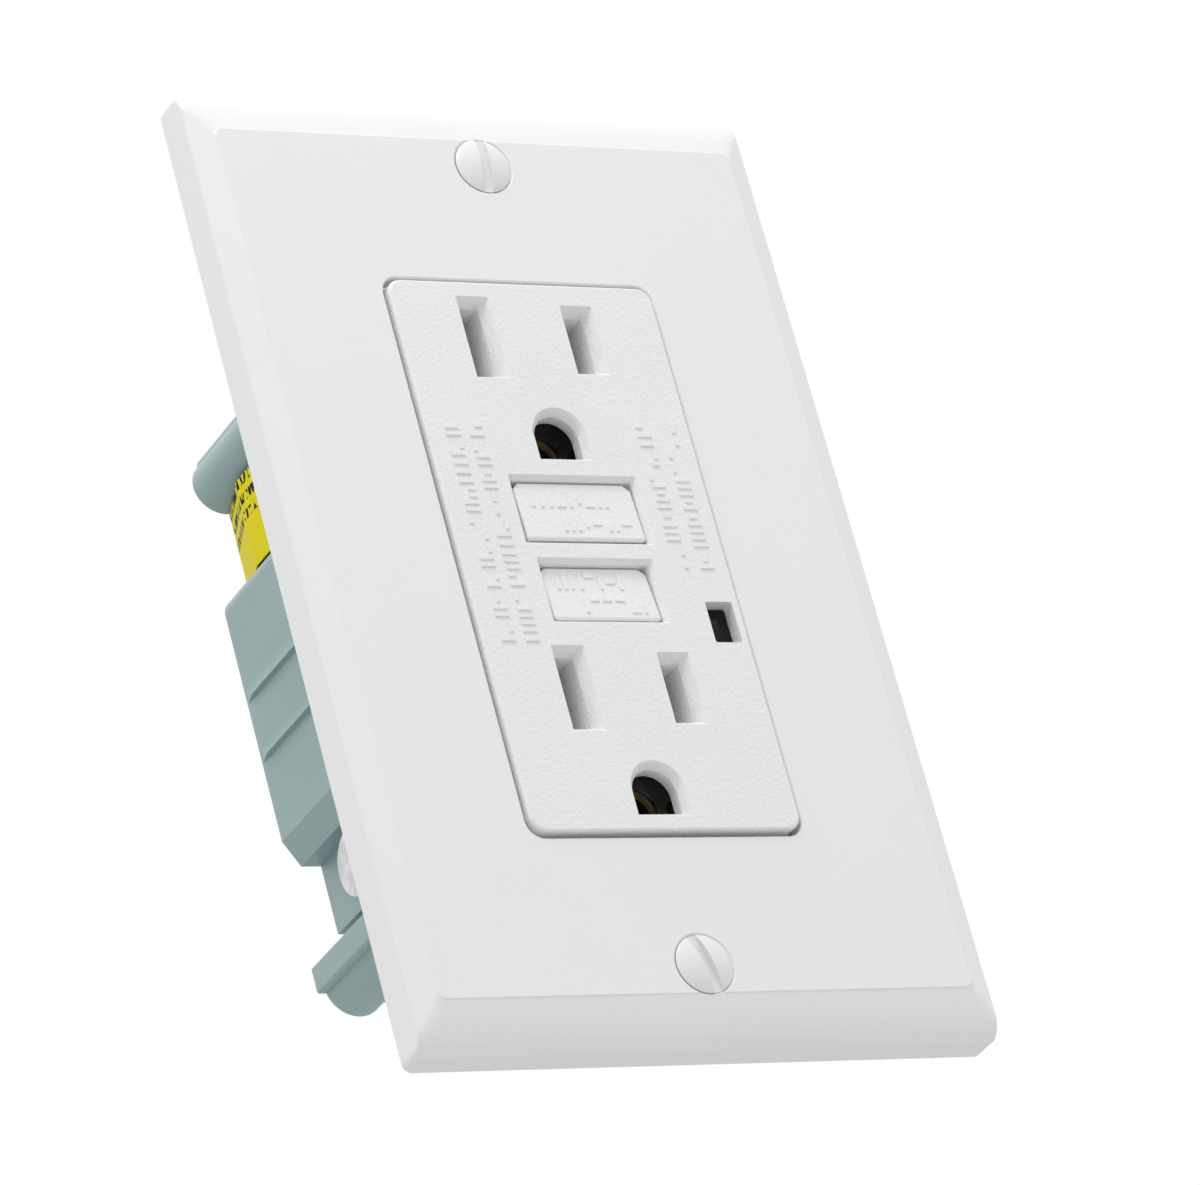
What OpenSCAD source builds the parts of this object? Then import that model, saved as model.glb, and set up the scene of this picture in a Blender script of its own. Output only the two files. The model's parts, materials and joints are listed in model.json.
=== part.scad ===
// Ground fault receptacle with a screwed wall plate.
// X runs to the right seen from the front, Z up, Y into the wall.
// The origin is the centre of the box-screw holes on the wall plane.

/* [Wall plate] */
// Width of the wall plate
plate_w = 69.85; // [68:0.05:72]
// Height of the wall plate
plate_h = 114.3; // [113:0.05:118]
// How far the wall plate stands out from the wall
plate_t = 6; // [5.6:0.1:7]
// Thickness of the wall plate's front
plate_web = 2.2; // [1.8:0.1:2.4]
// Thickness of the wall plate's rim
plate_wall = 2; // [1.5:0.1:2.5]
// Drop of the slope round the wall plate's front
slope_drop = 1.2; // [0.6:0.1:1.6]
// Width of that slope on the left and right
slope_side = 2.6; // [1.5:0.1:4]
// Width of that slope at the top and bottom
slope_end = 5.4; // [3:0.1:6]
// Width of the opening for the device face
opening_w = 33.4; // [33.3:0.1:33.8]
// Height of the opening for the device face
opening_h = 66.9; // [66.8:0.1:67.2]
// Distance between the two plate screws
plate_screw_span = 96.84; // [96:0.02:97.5]

/* [Device face] */
// Width of the device face
face_w = 32.8; // [32:0.1:33]
// Height of the device face
face_h = 66.3; // [65:0.1:66.5]
// How far the device face stands out from the wall
face_out = 6.5; // [6.2:0.1:7]
// Thickness of the device face
face_t = 2.3; // [2:0.1:2.6]
// Distance between the hot and the neutral slot
slot_span = 12.7; // [12.7]
// Height of the blade slots' centre in the upper receptacle
upper_z = 26.25; // [26:0.05:26.5]
// Height of the blade slots' centre in the lower receptacle
lower_z = -16.4; // [-16.6:0.05:-16.2]
// Distance from the blade slots down to the ground hole
ground_drop = 11.9; // [11.9]

/* [Buttons] */
// Height of the reset button's centre
reset_z = 5.1; // [5:0.1:5.2]
// Height of the test button's centre
test_z = -4.7; // [-4.8:0.1:-4.6]

/* [Mounting] */
// Distance between the two box-screw holes
box_screw_span = 83.34; // [83.34]
// Thickness of the steel strap
strap_t = 1.1; // [1:0.05:1.2]
// Overall length of the steel strap
strap_len = 104.4; // [103:0.2:106]
// Radius of the box-screw holes
box_hole_r = 2.2; // [2:0.05:2.3]

/* [Housing] */
// Width of the rear housing
house_w = 43; // [43:0.1:44]
// Depth of the rear housing behind the wall plane
house_d = 34; // [34:0.5:38]
// Wall thickness of the rear housing
house_wall = 1.8; // [1.6:0.1:1.8]

/* [Hidden] */
$fn = 48;
// How far a cut runs past the face that it opens
eps = 0.5;

// Faces of the plate, device and strap, measured along Y
face_y = -face_out;
face_back_y = face_y + face_t;
plate_y = -plate_t;
web_back_y = plate_y + plate_web;
strap_y = -strap_t;

// Wall plate
plate_corner_r = 1;
plate_inner_r = 1.2;
opening_r = 2.6;
plate_screw_z = plate_screw_span / 2;
plate_hole_r = 2.1;
sink_r = 3.65;
sink_depth = 1.4;
plate_screw_r = 1.7;
plate_screw_head_r = 3.3;
plate_screw_end_y = 7;

// Blade slots and ground holes
slot_x = slot_span / 2;
slot_w = 2.3;
neutral_slot_h = 8.4;
hot_slot_h = 6.9;
lead_in = 0.85;
lead_depth = 1.35;
well_wall = 0.8;
well_back_y = -1.4;
ground_r = 2.65;
ground_floor = 2.55;
ground_recess = 0.6;
receptacle_z = [upper_z, lower_z];
ground_z = [upper_z - ground_drop, lower_z - ground_drop];

// Buttons: windows in the face, button bodies and the flanges that hold them in
reset_window = [15.6, 8.4];
test_window = [14.1, 7.8];
reset_body = [14.4, 7.2];
test_body = [12.8, 6.3];
reset_sunk = 0.3;
test_sunk = 0.9;
flange_lip = 0.55;
flange_t = 1;
flange_gap = 0.1;
reset_pin_r = 1.5;
reset_pin_y = face_y + 1.7;
test_stem_r = 1.2;
button_r = 0.8;
button_crown = 0.5;
flange_y = face_back_y + flange_gap;
spring_front_y = flange_y + flange_t;
spring_back_y = 7;
leaf_y = 3.3;
leaf_t = 0.4;

// Indicator window
lens_x = 13.8;
lens_z = -8.4;
lens_size = [3.2, 4.9];
lens_sunk = 1.55;

// Rear housing outline, symmetric left to right
half_w = house_w / 2;
block_z = 16.4;
block_corner_r = 1.9;
chamfer = [1.6, 3];
recess_x = 17.5;
recess_end_z = 24.6;
notch_x = 14.5;
end_z = 32.8;
screw_x = 17.3;
screw_z = 30.9;
boss_r = 3.5;
lug_x = 21.8;
lug_z = [28.5, 31.6];
upper_lobe_x = 18.1;
upper_lobe_z = 30.7;
upper_lug_x = 20.4;
upper_lug_end_z = 34.2;
case_screw_r = 1.45;
case_head_r = 2.6;
case_head_t = 1.8;
case_sink = 2.2;
rib_h = 1.85;
rib_out = 0.55;
rib_low_z = [3.4, -3.9];

// Inside of the housing
room_x = half_w - house_wall;
room_z = block_z - house_wall;
pocket_room_x = recess_x - house_wall;
pocket_wall = 0.9;
pocket_room_z = recess_end_z - pocket_wall;
end_room_x = notch_x - house_wall;
end_room_z = end_z - house_wall;
room_back_y = house_d - house_wall;
fit_gap = 0.3;
snug = 0.05;
loose = 0.1;

// Terminals
terminal_y = 22.4;
terminal_z = 21.6;
terminal_h = 4;
terminal_d = 10;
terminal_t = 1.2;
terminal_x = 14.4;
terminal_screw_r = 1.6;
terminal_head_r = 3.85;
pad_y = [terminal_y - terminal_d / 2, terminal_y + terminal_d / 2 - 2];
terminal_head_x = [17.9, 20.3];

ground_screw_r = 1.85;
ground_screw_y = 4.8;
ground_screw_z = -38.9;

// Levels of the contact stack, measured along Y
strip_y = 10;
strip_t = 0.8;
floor_y = 11;
floor_t = 1.4;
arm_y = 13.2;
arm_t = 0.8;
arm_root_z = -21;
arm_axis_y = arm_y + arm_t / 2;
arm_roll_r = 0.7;
rivet_r = 1.2;
rivet_hole_r = 0.8;
ground_rivet_x = 4.8;
ground_head_r = 1.15;
ground_base_t = 0.9;
face_rivet_x = 7.2;
load_rivet_x = 10.9;
board_y = 29;
board_t = 1.6;
board_post_x = 16.5;
board_post_z = 11;

// Latch and solenoid
carriage_y = [13.4, 21];
wing_y = [14.35, 16.2];
latch_y = [17.6, 18.6];
latch_hole_r = 1.7;
latch_offset = 0.7;
fork_z = [12.3, 13.1];
groove_r = 0.9;
plunger_y = 23;
plunger_r = 2.2;
plunger_end_z = 23.5;
solenoid_z = [15, 28.6];
frame_t = 0.8;
bobbin_flange_t = 0.9;
bobbin_r = 5.4;
coil_r = 5.1;
barrel_r = 3.1;

// Differential transformer
boat_y = 15.2;
boat_r = 8.5;
boat_wall = 0.8;
core_in_r = 4.4;
core_out_r = 7.2;
core_t = 4;
core_y = boat_y + boat_wall + 0.4;
core_gap = 1.2;
conductor_x = 1.85;
conductor_r = 0.85;
conductor_foot_x = 10.6;

// A flat outline drawn in X and Z, made solid from y0 to y1
module slab(y0, y1) {
    translate([0, y1, 0]) rotate([90, 0, 0]) linear_extrude(y1 - y0) children();
}

// Box from its two opposite corners
module block(a, b) {
    translate(a) cube(b - a);
}

// Round bars along each axis, between two places on it
module bar_y(r, y0, y1, x = 0, z = 0) {
    translate([x, y1, z]) rotate([90, 0, 0]) cylinder(r = r, h = y1 - y0);
}

module bar_x(r, x0, x1, y = 0, z = 0) {
    translate([x0, y, z]) rotate([0, 90, 0]) cylinder(r = r, h = x1 - x0);
}

module bar_z(r, z0, z1, x = 0, y = 0) {
    translate([x, y, z0]) cylinder(r = r, h = z1 - z0);
}

// Cone along Y, with its radius at each end
module cone_y(r0, r1, y0, y1, x = 0, z = 0) {
    translate([x, y1, z]) rotate([90, 0, 0]) cylinder(r1 = r1, r2 = r0, h = y1 - y0);
}

module both_sides() {
    children();
    mirror([1, 0, 0]) children();
}

module both_ends() {
    children();
    mirror([0, 0, 1]) children();
}

// Points of a quarter arc round a corner, from angle a
function arc_points(cx, cz, r, a) = [
    for (i = [0:6]) [cx + r * cos(a + i * 15), cz + r * sin(a + i * 15)]
];

// Rectangle with round corners, in X and Z
module round_rect(size, r, centre = [0, 0]) {
    dx = size[0] / 2 - r;
    dz = size[1] / 2 - r;
    translate(centre) polygon(concat(
        arc_points(dx, dz, r, 0), arc_points(-dx, dz, r, 90),
        arc_points(-dx, -dz, r, 180), arc_points(dx, -dz, r, 270)
    ));
}

// Opening that narrows from size to size less twice the lead-in over its depth
module lead_in_cut(size, centre, y0) {
    outer = size + [2 * lead_in, 2 * lead_in];
    slope = lead_in / lead_depth;
    ends = [outer / 2 + [1, 1] * slope * eps, size / 2];
    translate([centre[0], y0, centre[1]]) intersection() {
        translate([0, 0, -outer[1]]) linear_extrude(2 * outer[1]) polygon([
            [-ends[0][0], -eps], [ends[0][0], -eps], [ends[1][0], lead_depth], [-ends[1][0], lead_depth]
        ]);
        rotate([0, 90, 0]) translate([0, 0, -outer[0]]) linear_extrude(2 * outer[0]) polygon([
            [-ends[0][1], -eps], [ends[0][1], -eps], [ends[1][1], lead_depth], [-ends[1][1], lead_depth]
        ]);
    }
}

// Ground hole outline: half round on top, flat below
module ground_outline(grow) {
    circle(r = ground_r + grow);
    translate([-ground_r - grow, -ground_floor - grow]) square([2 * (ground_r + grow), ground_floor + grow]);
}

// Helical wire spring along Z
function spring_ring(r, wire, turns, length, step, steps, sides) = [
    for (k = [0:sides - 1])
        let (
            turn = 360 * turns * step / steps,
            reach = r + wire * cos(360 * k / sides),
            up = wire + (length - 2 * wire) * step / steps + wire * sin(360 * k / sides)
        ) [reach * cos(turn), reach * sin(turn), up]
];

module coil_spring(r, wire, turns, length) {
    sides = 8;
    steps = turns * 14;
    rings = [for (i = [0:steps]) spring_ring(r, wire, turns, length, i, steps, sides)];
    points = [for (ring = rings) for (p = ring) p];
    walls = [
        for (i = [0:steps - 1]) for (k = [0:sides - 1])
            let (j = (k + 1) % sides)
            [i * sides + k, (i + 1) * sides + k, (i + 1) * sides + j, i * sides + j]
    ];
    start = [for (k = [0:sides - 1]) k];
    finish = [for (k = [sides - 1:-1:0]) steps * sides + k];
    polyhedron(points, concat(walls, [start], [finish]), convexity = 10);
}

module wall_plate() color("white") difference() {
    inside = [plate_w - 2 * plate_wall, plate_h - 2 * plate_wall];
    past = 1;
    side_x = plate_w / 2;
    end_edge_z = plate_h / 2;
    slab(plate_y, 0) round_rect([plate_w, plate_h], plate_corner_r);
    slab(web_back_y, eps) round_rect(inside, plate_inner_r);
    slab(plate_y - eps, eps) round_rect([opening_w, opening_h], opening_r);
    both_ends() {
        bar_y(plate_hole_r, plate_y - eps, eps, 0, plate_screw_z);
        cone_y(sink_r, plate_hole_r, plate_y, plate_y + sink_depth, 0, plate_screw_z);
    }
    // Slopes round the front
    both_sides() linear_extrude(plate_h + 2 * past, center = true) polygon([
        [side_x - slope_side, plate_y], [side_x + past, plate_y + slope_drop * (1 + past / slope_side)],
        [side_x + past, plate_y - past], [side_x - slope_side, plate_y - past]
    ]);
    both_ends() rotate([90, 0, 90]) linear_extrude(plate_w + 2 * past, center = true) polygon([
        [plate_y, end_edge_z - slope_end], [plate_y + slope_drop * (1 + past / slope_end), end_edge_z + past],
        [plate_y - past, end_edge_z + past], [plate_y - past, end_edge_z - slope_end]
    ]);
}

// Oval-head screw; its slot stands a few degrees off upright
module plate_screw(slot_angle) {
    dome_r = 8;
    dome_h = 0.75;
    neck_y = plate_y + 1.25;
    slot_half_w = 0.55;
    slot_depth = 0.5;
    difference() {
        union() {
            cone_y(plate_screw_head_r, plate_screw_r + 0.2, plate_y, neck_y);
            intersection() {
                bar_y(plate_screw_head_r, plate_y - 2 * dome_h, plate_y);
                translate([0, plate_y - dome_h + dome_r, 0]) sphere(r = dome_r, $fn = 96);
            }
            bar_y(plate_screw_r, neck_y, plate_screw_end_y);
        }
        rotate([0, slot_angle, 0]) block(
            [-slot_half_w, plate_y - 2 * dome_h, -plate_screw_head_r - eps],
            [slot_half_w, plate_y + slot_depth, plate_screw_head_r + eps]
        );
    }
}

module plate_screws() color("whitesmoke") {
    translate([0, 0, plate_screw_z]) plate_screw(-8);
    translate([0, 0, -plate_screw_z]) plate_screw(-12);
}

module mounting_strap() color("silver") {
    ear = [40, 6.4];
    ear_r = 1.2;
    ear_z = (strap_len - ear[1]) / 2;
    notch_r = 1.4;
    notch_x = 14.2;
    notch_z = ear_z - 0.4;
    body = [36, 54];
    body_r = 1;
    shoulder = [26, 72];
    neck_w = 22;
    blade_window = [6.4, 12.4];
    blade_window_x = slot_x + 0.25;
    button_window = [18.4, 20.4];
    lens_window = [4.8, 6.4];
    window_r = 0.8;
    tab_x = 9;
    tab_z = [-42.4, -35.4];
    tab_end_y = 9;
    difference() {
        slab(strap_y, 0) difference() {
            union() {
                round_rect(body, body_r);
                square(shoulder, center = true);
                square([neck_w, strap_len], center = true);
                for (s = [-1, 1]) round_rect(ear, ear_r, [0, s * ear_z]);
            }
            // Windows for the blades and their contacts
            for (s = [-1, 1]) for (z = receptacle_z) round_rect(blade_window, window_r, [s * blade_window_x, z]);
            // Window for the two buttons
            round_rect(button_window, window_r, [0, (reset_z + test_z) / 2]);
            // Window for the indicator
            round_rect(lens_window, window_r, [lens_x, lens_z]);
            // Notches that let the ears be snapped off
            for (s = [-1, 1]) for (e = [-1, 1]) translate([s * notch_x, e * notch_z]) circle(r = notch_r);
        }
        for (z = ground_z) {
            bar_y(ground_r + 0.25, strap_y - eps, eps, 0, z);
            for (s = [-1, 1]) bar_y(rivet_hole_r, strap_y - eps, eps, s * ground_rivet_x, z);
        }
        both_ends() {
            bar_y(plate_screw_r + snug, strap_y - eps, eps, 0, plate_screw_z);
            bar_y(box_hole_r, strap_y - eps, eps, 0, box_screw_span / 2);
        }
    }
    // Tab for the ground screw
    difference() {
        block([tab_x, strap_y / 2, tab_z[0]], [tab_x + strap_t, tab_end_y, tab_z[1]]);
        bar_x(ground_screw_r + snug, tab_x - eps, tab_x + strap_t + eps, ground_screw_y, ground_screw_z);
    }
}

// The outlines of the four blade slots, each grown by the same width all round
module slot_outlines(grow) {
    for (z = receptacle_z) {
        translate([-slot_x, z]) square([slot_w, neutral_slot_h] + 2 * [grow, grow], center = true);
        translate([slot_x, z]) square([slot_w, hot_slot_h] + 2 * [grow, grow], center = true);
    }
}

module face_cover() color("white") {
    skirt = 1.5;
    face_r = 2.4;
    window_r = 0.5;
    case_boss_r = 2.9;
    rim = [42.4, 68.4];
    rim_t = 1.5;
    lens_fit = 0.1;
    difference() {
        union() {
            difference() {
                union() {
                    slab(face_y, strap_y) round_rect([face_w, face_h], face_r);
                    slab(strap_y - rim_t, strap_y) round_rect(rim, 3);
                }
                slab(face_back_y, eps) round_rect([face_w - 2 * skirt, face_h - 2 * skirt], face_r - 1);
            }
            // Walls that guide the blades
            slab(face_back_y - eps, well_back_y) slot_outlines(well_wall);
            // Bosses for the housing screws
            both_ends() both_sides() bar_y(case_boss_r, strap_y - 2.4, strap_y, screw_x, screw_z);
        }
        slab(face_y - eps, eps) slot_outlines(0);
        for (z = receptacle_z) {
            lead_in_cut([slot_w, neutral_slot_h], [-slot_x, z], face_y);
            lead_in_cut([slot_w, hot_slot_h], [slot_x, z], face_y);
        }
        for (z = ground_z) {
            slab(face_y - eps, eps) translate([0, z]) ground_outline(0);
            slab(face_y - eps, face_y + ground_recess) translate([0, z]) ground_outline(ground_recess);
        }
        slab(face_y - eps, face_back_y + eps) {
            round_rect(reset_window, window_r, [0, reset_z]);
            round_rect(test_window, window_r, [0, test_z]);
            round_rect(lens_size + [lens_fit, lens_fit], 0.3, [lens_x, lens_z]);
        }
        both_ends() both_sides() bar_y(case_screw_r + snug, strap_y - 2, eps, screw_x, screw_z);
        // Pocket behind the face for the indicator window
        block([lens_x - 2.4, face_back_y, lens_z - 3.6], [lens_x + 2, eps, lens_z + 3.6]);
    }
}

// Push button: body, holding flange and its own sunk depth
module push_button(body, window, sunk, z) {
    top = face_y + sunk;
    rim = button_crown;
    slab(top + rim, flange_y + flange_t) round_rect(body, button_r, [0, z]);
    slab(top, top + 2 * rim) round_rect(body - 2 * [rim, rim], 0.6, [0, z]);
    slab(flange_y, flange_y + flange_t) round_rect(window + 2 * [flange_lip, flange_lip], button_r, [0, z]);
}

module reset_button() color("white") difference() {
    push_button(reset_body, reset_window, reset_sunk, reset_z);
    bar_y(reset_pin_r + snug, reset_pin_y - 0.1, flange_y + flange_t + eps, 0, reset_z);
}

module test_button() color("white") {
    push_button(test_body, test_window, test_sunk, test_z);
    bar_y(test_stem_r, flange_y, leaf_y - 0.3, 0, test_z);
}

// Latch pin with a groove for the latch plate and a tapered tip
module reset_pin() color("silver") difference() {
    tip_y = 21.6;
    groove_gap = 0.3;
    groove = [latch_y[0] - groove_gap, latch_y[1] + groove_gap];
    union() {
        bar_y(reset_pin_r, reset_pin_y, tip_y, 0, reset_z);
        cone_y(reset_pin_r, 0.8, tip_y, tip_y + 1, 0, reset_z);
    }
    difference() {
        bar_y(reset_pin_r + eps, groove[0], groove[1], 0, reset_z);
        bar_y(groove_r, groove[0] - eps, groove[1] + eps, 0, reset_z);
    }
}

module reset_spring() color("lightgray")
    translate([0, spring_front_y, reset_z]) rotate([-90, 0, 0])
        coil_spring(2.35, 0.3, 5, spring_back_y - spring_front_y);

// Bent leaf under the test button
module test_contact_spring() color("goldenrod") {
    foot_x = 8.9;
    half_h = 1.5;
    tip_x = -2.4;
    block([tip_x, leaf_y, test_z - half_h], [foot_x + leaf_t, leaf_y + leaf_t, test_z + half_h]);
    block([foot_x, leaf_y, test_z - half_h], [foot_x + leaf_t, floor_y, test_z + half_h]);
}

module led_lens() color("black") {
    flange_grow = [0.6, 1.2];
    slab(face_y + lens_sunk, face_back_y + 0.5) round_rect(lens_size, 0.25, [lens_x, lens_z]);
    slab(face_back_y, face_back_y + 0.9) round_rect(lens_size + flange_grow, 0.3, [lens_x - 0.1, lens_z]);
}

module led() color("palegreen") {
    led_r = 1.5;
    dome_y = -1.4;
    base_y = 2;
    lead_r = 0.25;
    translate([lens_x, dome_y, lens_z]) sphere(r = led_r);
    bar_y(led_r, dome_y, base_y, lens_x, lens_z);
    for (s = [-1, 1]) bar_y(lead_r, base_y - eps, board_y, lens_x, lens_z + s * 0.8, $fn = 16);
}

// Outline of the housing's room, less a gap all round
module room_outline(gap) {
    square(2 * [room_x - gap, room_z - gap], center = true);
    square(2 * [pocket_room_x - gap, pocket_room_z - gap], center = true);
    square(2 * [end_room_x - gap, end_room_z - gap], center = true);
}

// Inner tray between the contacts and the mechanism
module separator() color("ivory") {
    wall = 1.2;
    hub_r = 3.7;
    front_y = 0.2;
    floor_back_y = floor_y + floor_t;
    window_half_h = 2;
    slot_half_h = terminal_h / 2 + 0.6;
    clip_gap_x = 4;
    difference() {
        union() {
            difference() {
                slab(front_y, floor_back_y) room_outline(fit_gap);
                slab(-eps, floor_y) room_outline(fit_gap + wall);
            }
            bar_y(hub_r, spring_back_y, floor_y + eps, 0, reset_z);
        }
        bar_y(reset_pin_r + loose, spring_back_y - 1, floor_back_y + eps, 0, reset_z);
        // Windows for the fixed rivets
        both_sides() block(
            [face_rivet_x - 1.6, floor_y - eps, reset_z - window_half_h],
            [load_rivet_x + 1.6, floor_back_y + eps, reset_z + window_half_h]
        );
        // Slots for the load terminals
        both_sides() block(
            [terminal_x - eps, -eps, terminal_z - slot_half_h],
            [pocket_room_x, floor_back_y + eps, terminal_z + slot_half_h]
        );
        // Gap in the wall for the lower ground clip
        block([-clip_gap_x, -eps, -end_z], [clip_gap_x, floor_y, fit_gap + wall + 0.1 - end_room_z]);
        // Hole for the indicator's leads
        block([lens_x - 1, floor_y - eps, lens_z - 1.8], [lens_x + 1, floor_back_y + eps, lens_z + 1.8]);
    }
}

// Strip with a blade clip at each receptacle, on the right-hand side
module face_contact() {
    clip_h = 6.4;
    clip_y = 1.4;
    clip_x = 1.05;
    leaf = 0.7;
    block([slot_x - 1.5, strip_y, lower_z - 3.6], [slot_x + 1.9, strip_y + strip_t, upper_z + 3.1]);
    for (z = receptacle_z) for (s = [-1, 1]) block(
        [slot_x + s * clip_x - leaf / 2, clip_y, z - clip_h / 2],
        [slot_x + s * clip_x + leaf / 2, strip_y + leaf / 2, z + clip_h / 2]
    );
}

module neutral_face_contact() color("goldenrod") mirror([1, 0, 0]) face_contact();

module hot_face_contact() color("goldenrod") face_contact();

// Ground pin clips: a sleeve that is open below, on a base riveted to the strap
module ground_contacts() color("goldenrod") for (z = ground_z) translate([0, 0, z]) difference() {
    sleeve_r = 3.2;
    sleeve_back_y = 10.6;
    base_x = 6;
    opening_z = -2.1;
    union() {
        bar_y(sleeve_r, 0, sleeve_back_y);
        block([-base_x, 0, -ground_head_r], [base_x, ground_base_t, 2]);
    }
    bar_y(ground_r - 0.15, -eps, sleeve_back_y + eps);
    block([-sleeve_r - eps, -eps, -sleeve_r - eps], [sleeve_r + eps, sleeve_back_y + eps, opening_z]);
    for (s = [-1, 1]) bar_y(rivet_hole_r, -eps, ground_base_t + eps, s * ground_rivet_x);
}

module ground_rivets() color("goldenrod") both_sides() for (z = ground_z) {
    bar_y(rivet_hole_r - snug, strap_y, ground_base_t, ground_rivet_x, z);
    bar_y(ground_head_r, strap_y - 0.35, strap_y, ground_rivet_x, z);
    bar_y(ground_head_r, ground_base_t, ground_base_t + 0.4, ground_rivet_x, z);
}

module fixed_contact_rivets() color("silver") both_sides() for (x = [face_rivet_x, load_rivet_x])
    bar_y(rivet_r, strip_y + strip_t, arm_y - 0.6, x, reset_z);

// Tapped plate in the housing's side window, on the right-hand side
module terminal_plate(y0, y1) {
    low_z = terminal_z - terminal_h / 2;
    high_z = terminal_z + terminal_h / 2;
    face_x = terminal_x + terminal_t;
    pad_x = face_x + terminal_t;
    difference() {
        union() {
            block([terminal_x, y0, low_z], [face_x, y1, high_z]);
            block([face_x - 0.1, pad_y[0], low_z], [pad_x, pad_y[1], high_z]);
        }
        bar_x(terminal_screw_r + snug, terminal_x - eps, pad_x + eps, terminal_y, terminal_z);
    }
}

module load_terminals() color("goldenrod") both_sides() {
    low_x = load_rivet_x - 1.5;
    back_y = strip_y + strip_t;
    terminal_plate(strip_y, terminal_y + 3);
    block([low_x, strip_y, terminal_z - terminal_h / 2], [terminal_x + terminal_t / 2, back_y, terminal_z]);
    block([low_x, strip_y, reset_z - 1.7], [load_rivet_x + 1.5, back_y, terminal_z - 1]);
}

module line_terminals() color("goldenrod") both_sides() mirror([0, 0, 1]) {
    foot_half_h = 1.2;
    terminal_plate(terminal_y - 5, board_y);
    block(
        [conductor_foot_x, board_y - strip_t, terminal_z - foot_half_h],
        [terminal_x + terminal_t / 2, board_y, terminal_z + foot_half_h]
    );
}

module line_conductors() color("peru") both_sides()
    bar_y(conductor_r, arm_axis_y + arm_roll_r + 0.15, board_y, conductor_x, arm_root_z);

// Moving arms; each one hangs on a rolled root over its conductor
module contact_arms() color("goldenrod") both_sides() {
    inner_x = 0.8;
    outer_x = 2.9;
    slab(arm_y, arm_y + arm_t) polygon([
        [inner_x, arm_root_z], [outer_x, arm_root_z], [outer_x, -17.5], [9.4, -4], [12.4, 2.6],
        [12.4, 7.8], [5.8, 7.8], [5.8, 2.6], [4.8, -3], [inner_x, -15.5]
    ]);
    bar_x(arm_roll_r, inner_x, outer_x, arm_axis_y, arm_root_z);
}

module arm_contact_rivets() color("silver") both_sides() for (x = [face_rivet_x, load_rivet_x])
    bar_y(rivet_r, arm_y - 0.5, arm_y, x, reset_z);

// Block on the reset pin that lifts the arms with its two wings
module contact_carriage() color("dimgray") difference() {
    half = [4.4, 4.3];
    wing = [12.2, 1.5];
    latch_room = 3.6;
    union() {
        block([-half[0], carriage_y[0], reset_z - half[1]], [half[0], carriage_y[1], reset_z + half[1]]);
        block([-wing[0], wing_y[0], reset_z - wing[1]], [wing[0], wing_y[1], reset_z + wing[1]]);
    }
    bar_y(reset_pin_r + loose, carriage_y[0] - eps, carriage_y[1] + eps, 0, reset_z);
    block([-latch_room, latch_y[0] - 2 * loose, -1], [latch_room, latch_y[1] + 2 * loose, 12]);
}

// Plate with an offset hole for the pin, bent into a fork round the plunger's neck
module latch_plate() color("silver") {
    half_w = 3.3;
    neck_room = 1.15;
    difference() {
        block([-half_w, latch_y[0], -2], [half_w, latch_y[1], fork_z[1]]);
        bar_y(latch_hole_r, latch_y[0] - eps, latch_y[1] + eps, 0, reset_z - latch_offset);
    }
    difference() {
        block([-half_w, latch_y[0], fork_z[0]], [half_w, plunger_y + 2, fork_z[1]]);
        block([-neck_room, plunger_y - 3.4, fork_z[0] - eps], [neck_room, plunger_y + 3, fork_z[1] + eps]);
    }
}

module solenoid_bobbin() color("darkslategray") difference() {
    z0 = solenoid_z[0] + frame_t;
    z1 = solenoid_z[1] - frame_t;
    union() {
        bar_z(barrel_r, z0, z1, 0, plunger_y);
        bar_z(bobbin_r, z0, z0 + bobbin_flange_t, 0, plunger_y);
        bar_z(bobbin_r, z1 - bobbin_flange_t, z1, 0, plunger_y);
    }
    bar_z(plunger_r + 0.08, z0 - eps, z1 + eps, 0, plunger_y);
}

module solenoid_coil() color("firebrick") difference() {
    z0 = solenoid_z[0] + frame_t + bobbin_flange_t;
    z1 = solenoid_z[1] - frame_t - bobbin_flange_t;
    bar_z(coil_r, z0, z1, 0, plunger_y);
    bar_z(barrel_r, z0 - eps, z1 + eps, 0, plunger_y);
}

// Bent steel bracket round the coil, with a gap for the latch plate
module solenoid_frame() color("silver") difference() {
    front_y = 16.8;
    back_y = plunger_y + bobbin_r;
    latch_gap = 3.7;
    union() {
        for (z = [solenoid_z[0], solenoid_z[1] - frame_t])
            block([-bobbin_r, front_y, z], [bobbin_r, back_y, z + frame_t]);
        block([-bobbin_r, front_y, solenoid_z[0]], [bobbin_r, front_y + 0.7, solenoid_z[1]]);
    }
    bar_z(plunger_r + 0.3, solenoid_z[0] - eps, solenoid_z[0] + frame_t + eps, 0, plunger_y);
    block([-latch_gap, front_y - eps, solenoid_z[0] - eps], [latch_gap, 21, solenoid_z[0] + frame_t + eps]);
}

// Plunger with a head and a neck that the latch plate's fork holds
module solenoid_plunger() color("gray") {
    head_z = 10.9;
    neck_z = [fork_z[0] - 0.3, fork_z[1] + 0.3];
    bar_z(2, head_z, neck_z[0], 0, plunger_y);
    bar_z(0.9, neck_z[0] - loose, neck_z[1] + loose, 0, plunger_y);
    bar_z(plunger_r, neck_z[1], plunger_end_z, 0, plunger_y);
}

module plunger_spring() color("lightgray")
    translate([0, plunger_y, plunger_end_z])
        coil_spring(1.75, 0.25, 4, solenoid_z[1] - frame_t - plunger_end_z);

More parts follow.
